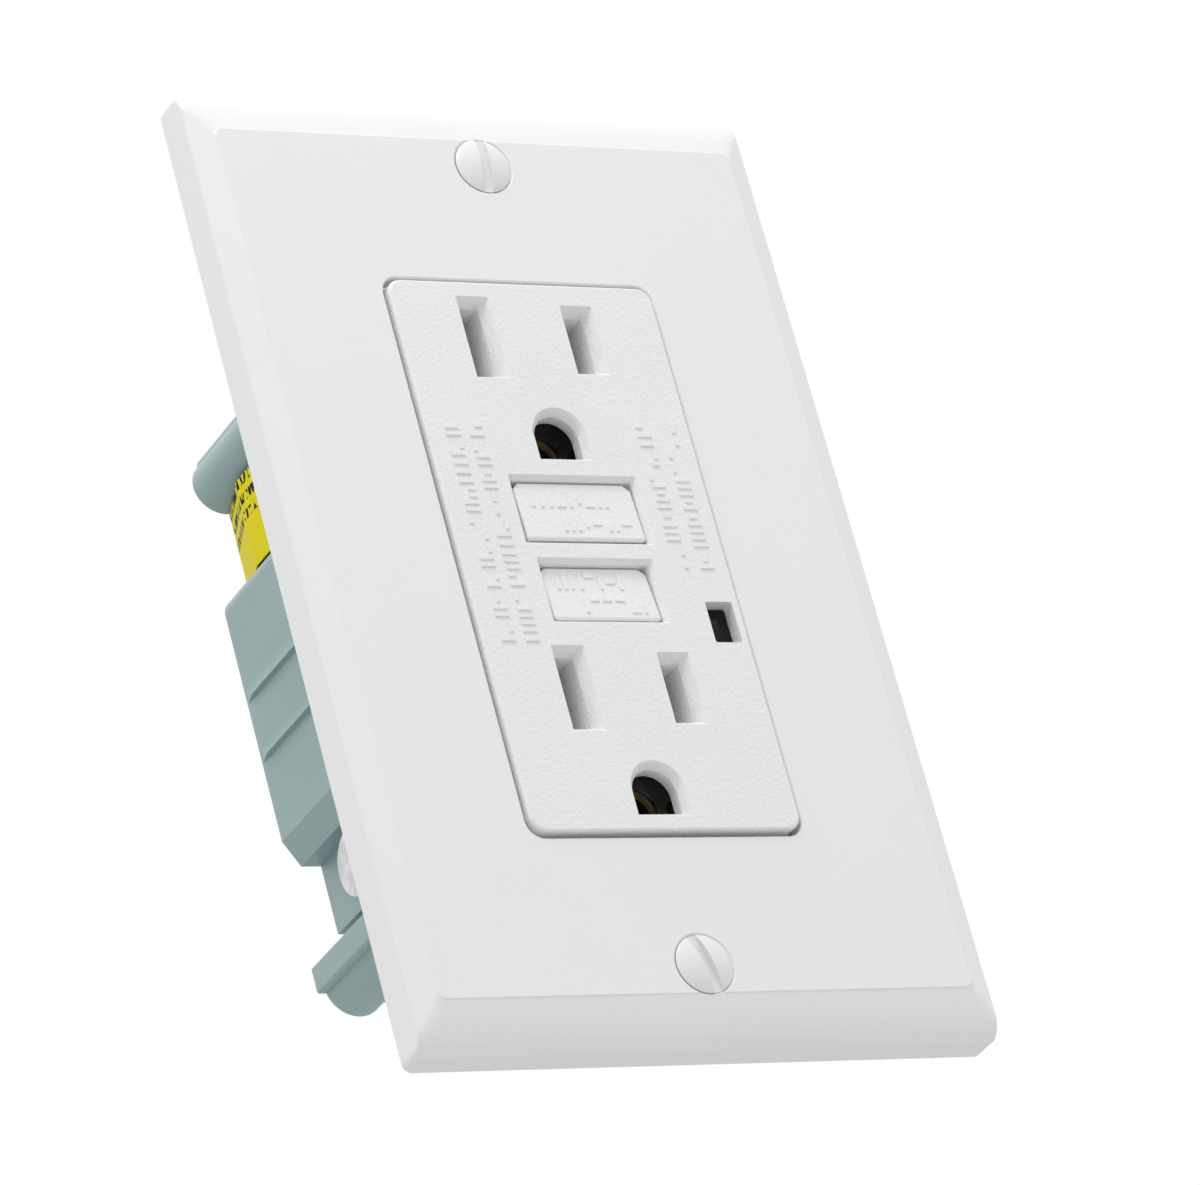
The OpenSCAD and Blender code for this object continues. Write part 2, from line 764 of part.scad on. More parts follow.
// Round trough that holds the two sensing rings
module transformer_boat() color("black") translate([0, 0, arm_root_z]) difference() {
    hub_r = core_in_r - 0.3;
    bar_y(boat_r, boat_y, board_y);
    difference() {
        bar_y(boat_r - boat_wall, boat_y + boat_wall, board_y + eps);
        bar_y(hub_r, boat_y, board_y + eps);
    }
    bar_y(hub_r - boat_wall, boat_y - eps, board_y + eps);
}

module wound_core(y0) translate([0, 0, arm_root_z]) difference() {
    bar_y(core_out_r, y0, y0 + core_t);
    bar_y(core_in_r, y0 - eps, y0 + core_t + eps);
}

module sense_core() color("sienna") wound_core(core_y);

module neutral_core() color("sienna") wound_core(core_y + core_t + core_gap);

module circuit_board() color("seagreen") difference() {
    wide = [37, 26];
    middle = [29, 44];
    narrow = [24, 60];
    post_hole_r = 0.9;
    slab(board_y, board_y + board_t) for (outline = [wide, middle, narrow]) square(outline, center = true);
    for (s = [-1, 1]) for (e = [-1, 1])
        bar_y(post_hole_r, board_y - eps, board_y + board_t + eps, s * board_post_x, e * board_post_z);
}

// Surge disc on two leads
module varistor() color("royalblue") {
    disc_r = 4.4;
    disc_x = [-16.4, -12.6];
    centre_y = 24.2;
    centre_z = 5;
    lead_r = 0.35;
    lead_x = (disc_x[0] + disc_x[1]) / 2;
    bar_x(disc_r, disc_x[0], disc_x[1], centre_y, centre_z);
    for (s = [-1, 1]) bar_y(lead_r, centre_y, board_y, lead_x, centre_z + s * 2.5, $fn = 16);
}

module film_capacitor() color("gold") {
    case_x = [7.5, 16.5];
    case_front_y = 22.5;
    case_half_h = 3;
    block([case_x[0], case_front_y, -case_half_h], [case_x[1], board_y, case_half_h]);
}

// Chip with four legs on each side
module control_chip() color("black") {
    chip_x = [-11, -6];
    chip_z = [-9, -1];
    chip_y = [27, board_y - 0.3];
    leg = [0.8, 0.6];
    leg_pitch = 2;
    block([chip_x[0], chip_y[0], chip_z[0]], [chip_x[1], chip_y[1], chip_z[1]]);
    for (x = [chip_x[0] - leg[0], chip_x[1]]) for (i = [0:3]) {
        low_z = chip_z[0] + 0.7 + i * leg_pitch;
        block([x, chip_y[0] + 0.8, low_z], [x + leg[0], board_y, low_z + leg[1]]);
    }
}

module trip_thyristor() color("black") {
    body_x = [8.5, 13.5];
    body_y = [23.5, 27.5];
    leg_w = 0.5;
    leg_pitch = 1.7;
    block([body_x[0], body_y[0], 6.5], [body_x[1], body_y[1], 10]);
    for (i = [0:2]) {
        leg_x = body_x[0] + leg_w + i * leg_pitch;
        block([leg_x, body_y[1], 8], [leg_x + leg_w, board_y, 8 + leg_w]);
    }
}

// Small round part that lies along an axis, with a lead at each end
module resistors() color("burlywood") for (i = [0:2]) translate([0, 0, -12.6 + i * 2.6]) {
    body_x = [-18, -14];
    centre_y = 27.6;
    lead = 0.4;
    bar_x(0.9, body_x[0], body_x[1], centre_y);
    for (x = [body_x[0], body_x[1] - lead]) block([x, centre_y, -lead / 2], [x + lead, board_y, lead / 2]);
}

module diodes() color("dimgray") for (i = [0:3]) translate([1.5 + i * 3, 0, -8]) {
    half_l = 2;
    centre_y = 27.8;
    lead = 0.4;
    bar_z(0.95, -half_l, half_l, 0, centre_y);
    for (z = [-half_l - lead / 2, half_l - lead / 2])
        block([-lead / 2, centre_y, z], [lead / 2, board_y, z + lead]);
}

// Block that joins a screw tower to the housing, on side s
module tower_outline(s, outer_x, z0, z1, r) {
    inner_x = notch_x - 1;
    round_rect([outer_x - inner_x, z1 - z0], r, [s * (outer_x + inner_x) / 2, (z0 + z1) / 2]);
}

// Outline of the rear housing, symmetric left to right
module housing_outline() {
    dx = half_w - block_corner_r;
    dz = block_z - block_corner_r;
    square(2 * [recess_x, recess_end_z], center = true);
    square(2 * [notch_x, end_z], center = true);
    // Main block: round corners above, chamfers below
    polygon(concat(
        arc_points(dx, dz, block_corner_r, 0), arc_points(-dx, dz, block_corner_r, 90),
        [[-half_w, chamfer[1] - block_z], [chamfer[0] - half_w, -block_z]],
        [[half_w - chamfer[0], -block_z], [half_w, chamfer[1] - block_z]]
    ));
    for (s = [-1, 1]) {
        // Lower screw towers with a square lug
        translate([s * screw_x, -screw_z]) circle(r = boss_r);
        tower_outline(s, lug_x, -lug_z[1], -lug_z[0], 0.3);
        // Upper screw towers: a round lobe under a flat-sided top
        translate([s * upper_lobe_x, upper_lobe_z]) circle(r = boss_r - 0.1);
        tower_outline(s, upper_lug_x, upper_lobe_z - 1, upper_lug_end_z, 1);
    }
}

// Low side rib: flush at its upper edge, proud at its lower edge, and run out at the back
module side_rib(low_z) {
    root_x = half_w - 0.3;
    edge_x = half_w + rib_out;
    front_y = 1;
    back_y = house_d - 0.3;
    intersection() {
        slab(front_y, back_y) polygon([
            [root_x, low_z], [edge_x, low_z + 0.1], [half_w, low_z + rib_h], [root_x, low_z + rib_h]
        ]);
        translate([0, 0, low_z]) linear_extrude(rib_h) polygon([
            [root_x, 0], [edge_x, 0], [edge_x, back_y - 2], [half_w, back_y], [root_x, back_y]
        ]);
    }
}

module rear_housing() color([0.55, 0.63, 0.65]) difference() {
    union() {
        difference() {
            slab(0, house_d) housing_outline();
            slab(-eps, room_back_y) room_outline(0);
        }
        both_sides() for (z = rib_low_z) side_rib(z);
        // Posts that carry the circuit board
        both_sides() both_ends() bar_y(1.4, board_y + board_t, room_back_y + eps, board_post_x, board_post_z);
    }
    both_ends() both_sides() {
        bar_y(case_screw_r + 1.5 * loose, -eps, house_d + eps, screw_x, screw_z);
        bar_y(case_head_r + 1.5 * loose, house_d - case_sink, house_d + eps, screw_x, screw_z);
        // Window that the terminal plate shows through
        block(
            [pocket_room_x - eps, pad_y[0] - 2 * loose, terminal_z - terminal_h / 2 - loose],
            [recess_x + eps, pad_y[1] + 2 * loose, terminal_z + terminal_h / 2 + loose]
        );
    }
}

// Binding screw that points inwards, on the right-hand side
module terminal_screw() {
    head_x = terminal_head_x;
    slot_half_w = 0.6;
    slot_depth = 0.9;
    difference() {
        union() {
            bar_x(terminal_head_r, head_x[0], head_x[1], terminal_y, terminal_z);
            bar_x(terminal_screw_r, terminal_x - 1.8, head_x[0], terminal_y, terminal_z);
        }
        block(
            [head_x[1] - slot_depth, terminal_y - slot_half_w, terminal_z - terminal_head_r - eps],
            [head_x[1] + eps, terminal_y + slot_half_w, terminal_z + terminal_head_r + eps]
        );
    }
}

module neutral_terminal_screws() color("silver") mirror([1, 0, 0]) both_ends() terminal_screw();

module hot_terminal_screws() color("goldenrod") both_ends() terminal_screw();

// Clamp plates under the terminal screws' heads
module pressure_plates() color("silver") both_sides() both_ends() difference() {
    inner_x = terminal_head_x[0] - 1;
    outer_x = terminal_head_x[0];
    half_h = terminal_h / 2;
    block(
        [inner_x, terminal_y - 4.4, terminal_z - half_h],
        [outer_x, terminal_y + 2.8, terminal_z + half_h]
    );
    bar_x(terminal_screw_r + 2 * loose, inner_x - eps, outer_x + eps, terminal_y, terminal_z);
}

module ground_screw() color("green") difference() {
    head_x = [10.1, 12.4];
    head_r = 3.8;
    slot_depth = 0.8;
    slot_half_w = 0.6;
    union() {
        bar_x(head_r, head_x[0], head_x[1], ground_screw_y, ground_screw_z);
        bar_x(ground_screw_r, 4.5, head_x[0], ground_screw_y, ground_screw_z);
    }
    block(
        [head_x[1] - slot_depth, ground_screw_y - slot_half_w, ground_screw_z - head_r - eps],
        [head_x[1] + eps, ground_screw_y + slot_half_w, ground_screw_z + head_r + eps]
    );
}

// Cross-slotted screws that hold the housing to the face
module housing_screws() color("silver") both_ends() both_sides() difference() {
    head_y = house_d - case_sink;
    back_y = head_y + case_head_t;
    slot_y = back_y - 0.6;
    half_l = case_head_r + eps;
    half_w = 0.35;
    union() {
        bar_y(case_head_r, head_y, back_y, screw_x, screw_z);
        bar_y(case_screw_r, strap_y - 1.9, head_y, screw_x, screw_z);
    }
    block([screw_x - half_w, slot_y, screw_z - half_l], [screw_x + half_w, house_d, screw_z + half_l]);
    block([screw_x - half_l, slot_y, screw_z - half_w], [screw_x + half_l, house_d, screw_z + half_w]);
}

// Label wrapped over the load terminals and round the back
module terminal_label() color("yellow") {
    t = 0.15;
    low_z = block_z + 0.2;
    high_z = upper_lobe_z - boss_r - 0.1;
    bulge_x = terminal_head_x[1] + 0.1;
    front_y = 14;
    bend_y = 26.6;
    fold_x = recess_x + 0.3;
    outside = [
        [bulge_x + t, front_y], [bulge_x + t, bend_y],
        [fold_x + t, house_d - 0.2], [recess_x, house_d + t]
    ];
    inside = [[recess_x, house_d], [fold_x, house_d - 0.35], [bulge_x, bend_y], [bulge_x, front_y]];
    other_outside = [for (i = [3:-1:0]) [-outside[i][0], outside[i][1]]];
    other_inside = [for (i = [3:-1:0]) [-inside[i][0], inside[i][1]]];
    translate([0, 0, low_z]) linear_extrude(high_z - low_z)
        polygon(concat(outside, other_outside, other_inside, inside));
}

wall_plate();
plate_screws();
mounting_strap();
face_cover();
reset_button();
reset_pin();
reset_spring();
test_button();
test_contact_spring();
led_lens();
led();
separator();
neutral_face_contact();
hot_face_contact();
ground_contacts();
ground_rivets();
fixed_contact_rivets();
load_terminals();
line_terminals();
line_conductors();
contact_arms();
arm_contact_rivets();
contact_carriage();
latch_plate();
solenoid_bobbin();
solenoid_coil();
solenoid_frame();
solenoid_plunger();
plunger_spring();
transformer_boat();
sense_core();
neutral_core();
circuit_board();
varistor();
film_capacitor();
control_chip();
trip_thyristor();
resistors();
diodes();
rear_housing();
neutral_terminal_screws();
hot_terminal_screws();
pressure_plates();
ground_screw();
housing_screws();
terminal_label();
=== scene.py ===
import json
import math
import random

import bmesh
import bpy
from mathutils import Matrix, Vector


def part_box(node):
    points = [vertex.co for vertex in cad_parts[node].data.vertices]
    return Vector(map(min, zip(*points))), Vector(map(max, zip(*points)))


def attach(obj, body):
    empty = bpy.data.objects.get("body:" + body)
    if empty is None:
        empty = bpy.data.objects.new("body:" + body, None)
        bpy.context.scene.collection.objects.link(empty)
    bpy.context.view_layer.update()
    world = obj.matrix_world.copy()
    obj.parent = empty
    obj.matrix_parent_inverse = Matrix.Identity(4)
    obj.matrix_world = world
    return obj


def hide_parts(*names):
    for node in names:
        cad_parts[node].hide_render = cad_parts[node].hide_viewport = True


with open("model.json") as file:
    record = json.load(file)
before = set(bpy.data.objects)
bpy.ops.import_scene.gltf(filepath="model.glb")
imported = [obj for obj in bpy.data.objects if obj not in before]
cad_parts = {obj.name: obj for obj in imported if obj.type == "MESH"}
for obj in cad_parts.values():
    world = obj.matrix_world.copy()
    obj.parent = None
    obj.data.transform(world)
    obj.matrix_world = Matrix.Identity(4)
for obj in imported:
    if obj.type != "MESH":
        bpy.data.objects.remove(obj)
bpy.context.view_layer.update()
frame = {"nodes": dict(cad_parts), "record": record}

MM = 0.001

# ---------------------------------------------------------------- sizes, in millimetres
# Wall plate: outline, sloping sides, rolled ends, small step round the flat front
PLATE_CORNER_R = 1.0
PLATE_BACK_EDGE = (0.2, 0.25)
PLATE_SLOPE_DROP = 1.2
PLATE_SLOPE_SIDE = 2.6
PLATE_SLOPE_END = 5.4
PLATE_SLOPE_RINGS = 10
PLATE_END_ROLL = 1.5
PLATE_END_POWER = 2.2
PLATE_STEP = 0.1
PLATE_WALL = 2.0
PLATE_WEB = 2.2
PLATE_HOLLOW_R = 1.2
OPENING = (33.5, 67.4)
OPENING_R = 2.0
OPENING_LEAD = 0.14
# Any y behind the wall plate, where its cutters end
BEHIND_PLATE = 2
# How far the other cutters run on past the surface that they open
OVERRUN = 1

# Oval-head plate screws and their sinks
PLATE_SCREW_Z = 48.42
SINK_R = 3.58
SINK_DEPTH = 1.4
SINK_LEAD = 0.6
SCREW_HOLE_R = 2.1
SCREW_HEAD_R = 3.32
SCREW_DOME = 0.75
SCREW_DOME_RINGS = 8
SCREW_DOME_POWER = 2.2
SCREW_SLOT_HALF_W = 0.6
SCREW_SLOT_DEPTH = 0.12
SCREW_SLOT_REACH = 5

# Device face
FACE = (32.8, 66.3)
FACE_R = 1.75
FACE_EDGE_R = 0.3
FACE_EDGE_STEPS = 6
FACE_WALL = 2.3
FACE_SIDE_WALL = 1.5
FACE_HOLLOW_R = 1.4
FACE_RIM = 1.5
FACE_RIM_R = 3
UPPER_Z = 26.25
LOWER_Z = -16.4
SLOT_X = 6.35
SLOT_W = 2.3
NEUTRAL_H = 8.4
HOT_H = 6.9
LEAD_IN = 0.85
LEAD_DEPTH = 1.35
WELL_WALL = 0.8
WELL_R = 0.3
# How far each well reaches into the face's front wall, and stops short of its back
WELL_LAP = 0.3
GROUND_DROP = 11.9
GROUND_R = 2.65
GROUND_FLOOR = 2.55
GROUND_LEAD = 0.65
GROUND_LEAD_DEPTH = 0.95

# Push buttons and their windows
RESET_Z = 5.1
TEST_Z = -4.7
RESET_WINDOW = (15.8, 8.4)
TEST_WINDOW = (14.3, 7.8)
WINDOW_LEAD = 0.45
WINDOW_LEAD_DEPTH = 0.65
RESET_BODY = (14.5, 7.2)
TEST_BODY = (13.1, 6.7)
BUTTON_CLIP = 0.75
BUTTON_CORNER_R = 0.4
# The button's edge from the rim of its front inwards: (inset, drop behind the front)
BUTTON_CROWN = ((0.42, 0.0), (0.24, 0.03), (0.1, 0.1), (0.02, 0.22), (0.0, 0.34))
FLANGE_DEPTH = 2.4
FLANGE_THICKNESS = 1
FLANGE_MARGIN = 1.1
FLANGE_R = 0.8
# How deep the lower and upper edges of each button's leaning front lie
RESET_SUNK = (0.15, 0.7)
TEST_SUNK = (0.35, 1.15)
# Stem behind the test button: (radius, y where it ends)
TEST_STEM = ((1.2, 3.0),)

# Raised dashes: (start from the button's left edge, length, seed) for its upper and lower row
RESET_ROWS = ((1.5, 9.6, 5), (4.6, 9.0, 8))
TEST_ROWS = ((1.4, 8.6, 31), (4.0, 8.0, 37))
BUTTON_ROW_RISE = 1.5
# Raised dashes on the face: (x, z, direction, length, seed)
FACE_ROWS = (
    (-13.3, -11.0, "z", 27.0, 3),
    (-10.4, -11.0, "z", 27.0, 7),
    (10.4, -2.0, "z", 18.2, 11),
    (13.6, -2.0, "z", 18.2, 19),
)

# Indicator window
LENS_X = 13.8
LENS_Z = -8.4
LENS = (3.3, 4.9)
LENS_HOLE_R = 0.25
LENS_R = 0.2
LENS_CLEARANCE = 0.12
LENS_DEPTH = 1.7

# ---------------------------------------------------------------- mesh clean-up
MERGE_DISTANCE = 0.002
FLAT_ANGLE = 0.6
SHARP_ANGLE = 32
FLAT_FACE_WEIGHT = 100

# ---------------------------------------------------------------- light
# Light that comes from straight below and from straight above
LIGHT_BELOW = (0.28, 0.28, 0.28, 1)
LIGHT_ABOVE = (1.2, 1.2, 1.2, 1)
BACKDROP = (1, 1, 1, 1)

MATERIAL_SLOTS = {entry["node"]: entry["material_slot"] for entry in frame["record"]["subparts"]}


# ---------------------------------------------------------------- mesh helpers
def mesh_object(name, bm):
    """Turns a bmesh, drawn in millimetres, into an object in metres."""
    bmesh.ops.recalc_face_normals(bm, faces=bm.faces)
    bmesh.ops.scale(bm, vec=(MM, MM, MM), verts=bm.verts)
    mesh = bpy.data.meshes.new(name)
    bm.to_mesh(mesh)
    bm.free()
    obj = bpy.data.objects.new(name, mesh)
    bpy.context.scene.collection.objects.link(obj)
    return obj


def round_rect(size, r, centre=(0, 0), steps=8):
    """Outline of a rectangle with round corners, as (x, z) points."""
    points = []
    for quarter, (sx, sz) in enumerate(((1, 1), (-1, 1), (-1, -1), (1, -1))):
        cx = centre[0] + sx * (size[0] / 2 - r)
        cz = centre[1] + sz * (size[1] / 2 - r)
        for i in range(steps + 1):
            a = math.radians(90 * quarter + 90 * i / steps)
            points.append((cx + r * math.cos(a), cz + r * math.sin(a)))
    return points


def loft(name, rings):
    """Closed solid through rings of equal length; each ring is ((x, z) points, y)."""
    bm = bmesh.new()
    loops = [[bm.verts.new((x, y, z)) for x, z in points] for points, y in rings]
    count = len(loops[0])
    for a, b in zip(loops, loops[1:]):
        for i in range(count):
            j = (i + 1) % count
            bm.faces.new((a[i], a[j], b[j], b[i]))
    bm.faces.new(loops[0])
    bm.faces.new(list(reversed(loops[-1])))
    return mesh_object(name, bm)


def prism(name, points, y0, y1):
    """Outline in X and Z, made solid from y0 to y1."""
    return loft(name, [(points, y0), (points, y1)])


def circle_points(r, centre, steps):
    """Outline of a circle, as (x, z) points."""
    points = []
    for i in range(steps):
        a = 2 * math.pi * i / steps
        points.append((centre[0] + r * math.cos(a), centre[1] + r * math.sin(a)))
    return points


def lathe_y(name, profile, centre, steps=48):
    """Turned solid round an axis along Y; the profile is (radius, y) points."""
    return loft(name, [(circle_points(r, centre, steps), y) for r, y in profile])


def apply_modifiers(obj):
    """Replaces the object's mesh with what its modifiers make of it."""
    depsgraph = bpy.context.evaluated_depsgraph_get()
    mesh = bpy.data.meshes.new_from_object(obj.evaluated_get(depsgraph))
    obj.modifiers.clear()
    old = obj.data
    obj.data = mesh
    bpy.data.meshes.remove(old)


def combine(obj, others, operation):
    """Applies one exact boolean for each of the others, and deletes them."""
    for other in others:
        mod = obj.modifiers.new("combine", "BOOLEAN")
        mod.operation = operation
        mod.solver = "EXACT"
        mod.object = other
        apply_modifiers(obj)
        bpy.data.objects.remove(other)


def cut(obj, *others):
    """Takes the others away from the object."""
    combine(obj, others, "DIFFERENCE")


def weld(obj, *others):
    """Joins the others to the object."""
    combine(obj, others, "UNION")


def soften(obj, width, segments, angle):
    """Rounds edges that turn by more than angle degrees by width millimetres, and smooths the shading."""
    bm = bmesh.new()
    bm.from_mesh(obj.data)
    bmesh.ops.remove_doubles(bm, verts=bm.verts, dist=MERGE_DISTANCE * MM)
    bmesh.ops.dissolve_limit(bm, angle_limit=math.radians(FLAT_ANGLE), verts=bm.verts, edges=bm.edges)
    bm.to_mesh(obj.data)
    bm.free()
    if width > 0:
        mod = obj.modifiers.new("soften", "BEVEL")
        mod.width = width * MM
        mod.segments = segments
        mod.limit_method = "ANGLE"
        mod.angle_limit = math.radians(angle)
        mod.use_clamp_overlap = True
        apply_modifiers(obj)
    obj.data.shade_smooth()
    obj.data.set_sharp_from_angle(angle=math.radians(SHARP_ANGLE))
    # Flat faces stay flat, and only the narrow faces between them turn
    mod = obj.modifiers.new("flatten", "WEIGHTED_NORMAL")
    mod.keep_sharp = True
    mod.weight = FLAT_FACE_WEIGHT
    apply_modifiers(obj)


def softened_copy(node, name, width):
    """The CAD node's own shape with its edges rounded, standing in for it."""
    source = frame["nodes"][node]
    obj = bpy.data.objects.new(name, source.data.copy())
    bpy.context.scene.collection.objects.link(obj)
    obj.matrix_world = source.matrix_world.copy()
    soften(obj, width, segments=2, angle=28)
    return obj


# ---------------------------------------------------------------- materials
def shader(name, color, roughness, metallic=0.0):
    """New material; returns it with its node tree and its shader."""
    mat = bpy.data.materials.new(name)
    mat.use_nodes = True
    bsdf = mat.node_tree.nodes["Principled BSDF"]
    bsdf.inputs["Base Color"].default_value = (*color, 1)
    bsdf.inputs["Roughness"].default_value = roughness
    bsdf.inputs["Metallic"].default_value = metallic
    return mat, mat.node_tree, bsdf


def noise(tree, scale, detail=3.0, stretch=(1, 1, 1)):
    """Noise over the object's own coordinates; scale counts blobs per metre."""
    coords = tree.nodes.new("ShaderNodeTexCoord")
    mapping = tree.nodes.new("ShaderNodeMapping")
    mapping.inputs["Scale"].default_value = stretch
    tex = tree.nodes.new("ShaderNodeTexNoise")
    tex.inputs["Scale"].default_value = scale
    tex.inputs["Detail"].default_value = detail
    tree.links.new(coords.outputs["Object"], mapping.inputs["Vector"])
    tree.links.new(mapping.outputs["Vector"], tex.inputs["Vector"])
    return tex.outputs["Fac"]


def between(tree, fac, low, high, socket):
    """Maps a 0 to 1 value onto a range and links it."""
    node = tree.nodes.new("ShaderNodeMapRange")
    node.inputs["From Min"].default_value = 0.3
    node.inputs["From Max"].default_value = 0.7
    node.inputs["To Min"].default_value = low
    node.inputs["To Max"].default_value = high
    tree.links.new(fac, node.inputs["Value"])
    tree.links.new(node.outputs["Result"], socket)


def tint(tree, fac, dark, light, socket):
    """Blends two colours by a value and links the result."""
    ramp = tree.nodes.new("ShaderNodeValToRGB")
    ramp.color_ramp.elements[0].position = 0.35
    ramp.color_ramp.elements[0].color = (*dark, 1)
    ramp.color_ramp.elements[1].position = 0.65
    ramp.color_ramp.elements[1].color = (*light, 1)
    tree.links.new(fac, ramp.inputs["Fac"])
    tree.links.new(ramp.outputs["Color"], socket)


def mix_colors(tree, fac, first, second):
    """Blends two colours, each of them a constant or a socket."""
    node = tree.nodes.new("ShaderNodeMix")
    node.data_type = "RGBA"
    tree.links.new(fac, node.inputs["Factor"])
    colors = [socket for socket in node.inputs if socket.type == "RGBA"]
    for socket, value in zip(colors, (first, second)):
        if isinstance(value, tuple):
            socket.default_value = value
        else:
            tree.links.new(value, socket)
    return next(socket for socket in node.outputs if socket.type == "RGBA")


def bump(tree, fac, depth, bsdf):
    """Relief of the given depth in metres."""
    node = tree.nodes.new("ShaderNodeBump")
    node.inputs["Strength"].default_value = 1.0
    node.inputs["Distance"].default_value = depth
    tree.links.new(fac, node.inputs["Height"])
    tree.links.new(node.outputs["Normal"], bsdf.inputs["Normal"])


def plastic(name, color, roughness, grain, depth, spread=0.02):
    """Moulded plastic: slow colour drift, fine grain and uneven gloss."""
    drift_scale = 60
    gloss_scale = 220
    gloss_swing = 0.05
    grain_detail = 4
    mat, tree, bsdf = shader(name, color, roughness)
    dark = [c * (1 - spread) for c in color]
    light = [min(1, c * (1 + spread)) for c in color]
    tint(tree, noise(tree, drift_scale), dark, light, bsdf.inputs["Base Color"])
    low, high = roughness - gloss_swing, roughness + gloss_swing
    between(tree, noise(tree, gloss_scale), low, high, bsdf.inputs["Roughness"])
    bump(tree, noise(tree, grain, grain_detail), depth, bsdf)
    return mat


def metal(name, color, roughness, stretch=(1, 1, 1), grain=3000, depth=0.00001):
    """Metal with drawn or turned marks and patches of dull plating."""
    patch_scale = 500
    patch_shade = 0.8
    gloss_scale = 900
    mark_detail = 2
    mat, tree, bsdf = shader(name, color, roughness, 1.0)
    dark = [c * patch_shade for c in color]
    tint(tree, noise(tree, patch_scale), dark, color, bsdf.inputs["Base Color"])
    low, high = roughness - 0.08, roughness + 0.1
    between(tree, noise(tree, gloss_scale), low, high, bsdf.inputs["Roughness"])
    bump(tree, noise(tree, grain, mark_detail, stretch), depth, bsdf)
    return mat


def set_specular(mat, level):
    mat.node_tree.nodes["Principled BSDF"].inputs["Specular IOR Level"].default_value = level


WHITE = (0.87, 0.875, 0.88)
# plastic: colour, roughness, grain in blobs per metre, grain depth in metres, colour spread
# metal: colour, roughness, stretch of the marks, marks in blobs per metre, their depth in metres
MATERIALS = {
    "plate_plastic": plastic("plate_plastic_look", WHITE, 0.32, 400, 0.000003, 0.004),
    "face_plastic": plastic("face_plastic_look", WHITE, 0.5, 2300, 0.0001, 0.008),
    "painted_screw": plastic("painted_screw_look", (0.84, 0.85, 0.86), 0.3, 1200, 0.000006, 0.02),
    "strap_steel": metal("strap_steel_look", (0.62, 0.63, 0.65), 0.34, (1, 1, 0.05), 4000),
    "bright_steel": metal("bright_steel_look", (0.72, 0.73, 0.74), 0.2, (1, 1, 1), 650, 0.0002),
    "spring_steel": metal("spring_steel_look", (0.5, 0.5, 0.52), 0.3),
    # Contact brass darkened well below the colour of brass: painted shade for the dark inside of the
    # face's holes
    "contact_brass": metal("contact_brass_painted_shade_look", (0.28, 0.19, 0.08), 0.45),
    "screw_brass": metal("screw_brass_look", (0.82, 0.6, 0.26), 0.25),
    "copper_bar": metal("copper_bar_look", (0.8, 0.42, 0.26), 0.3),
    "silver_alloy": metal("silver_alloy_look", (0.85, 0.84, 0.82), 0.25),
    "copper_winding": metal("copper_winding_look", (0.5, 0.2, 0.08), 0.35, (1, 1, 8)),
    "dark_lens": plastic("dark_lens_look", (0.006, 0.007, 0.008), 0.1, 1500, 0.000002, 0.1),
    "led_resin": plastic("led_resin_look", (0.5, 0.7, 0.52), 0.2, 1500, 0.000002, 0.05),
    "inner_plastic": plastic("inner_plastic_look", (0.62, 0.6, 0.52), 0.5, 2500, 0.00001, 0.04),
    "dark_plastic": plastic("dark_plastic_look", (0.03, 0.032, 0.035), 0.45, 2500, 0.00001, 0.2),
    "board_laminate": plastic("board_laminate_look", (0.05, 0.22, 0.11), 0.35, 2500, 0.00001, 0.2),
    "varistor_coat": plastic("varistor_coat_look", (0.04, 0.12, 0.42), 0.3, 1800, 0.00002, 0.1),
    "capacitor_case": plastic("capacitor_case_look", (0.7, 0.48, 0.05), 0.35, 1800, 0.00001, 0.08),
    "chip_resin": plastic("chip_resin_look", (0.02, 0.02, 0.022), 0.5, 3000, 0.00001, 0.3),
    "resistor_coat": plastic("resistor_coat_look", (0.6, 0.46, 0.28), 0.3, 1800, 0.00001, 0.1),
    "housing_plastic": plastic("housing_plastic_look", (0.315, 0.435, 0.438), 0.42, 2200, 0.00001, 0.04),
    "green_screw": metal("green_screw_look", (0.06, 0.4, 0.16), 0.35),
}


def print_marks(tree, bsdf, film, ink):
    """Rows of short ink dashes on the film, with a clear margin between the rows."""
    coords = tree.nodes.new("ShaderNodeTexCoord")
    split = tree.nodes.new("ShaderNodeSeparateXYZ")
    tree.links.new(coords.outputs["Object"], split.inputs["Vector"])

    def math_node(operation, a, b):
        node = tree.nodes.new("ShaderNodeMath")
        node.operation = operation
        for socket, value in zip(node.inputs, (a, b)):
            if isinstance(value, (int, float)):
                socket.default_value = value
            else:
                tree.links.new(value, socket)
        return node.outputs["Value"]

    row_pitch = 1.9 * MM
    first_row = 21.4 * MM
    row_margin = 0.42
    dash_scale = 2100
    dash_stretch = (1, 1, 0.3)
    dash_cutoff = 0.5
    rows = math_node("DIVIDE", math_node("SUBTRACT", split.outputs["Z"], first_row), row_pitch)
    in_row = math_node("GREATER_THAN", math_node("FRACT", rows, 0), row_margin)
    dashes = math_node("GREATER_THAN", noise(tree, dash_scale, 1.0, dash_stretch), dash_cutoff)
    letter_zone = math_node("GREATER_THAN", split.outputs["Z"], first_row)
    printed = math_node("MULTIPLY", math_node("MULTIPLY", in_row, dashes), letter_zone)
    printed_film = mix_colors(tree, printed, (*film, 1), (*ink, 1))
    tree.links.new(printed_film, bsdf.inputs["Base Color"])


def label_material():
    """Slightly wavy yellow film with dark print."""
    film = (0.8, 0.7, 0.012)
    ink = (0.02, 0.02, 0.015)
    wave_scale = 300
    wave_depth = 0.00003
    mat, tree, bsdf = shader("label_film_look", film, 0.5)
    set_specular(mat, 0.05)
    print_marks(tree, bsdf, film, ink)
    bump(tree, noise(tree, wave_scale, 2), wave_depth, bsdf)
    return mat


MATERIALS["label_film"] = label_material()
set_specular(MATERIALS["dark_lens"], 0.2)


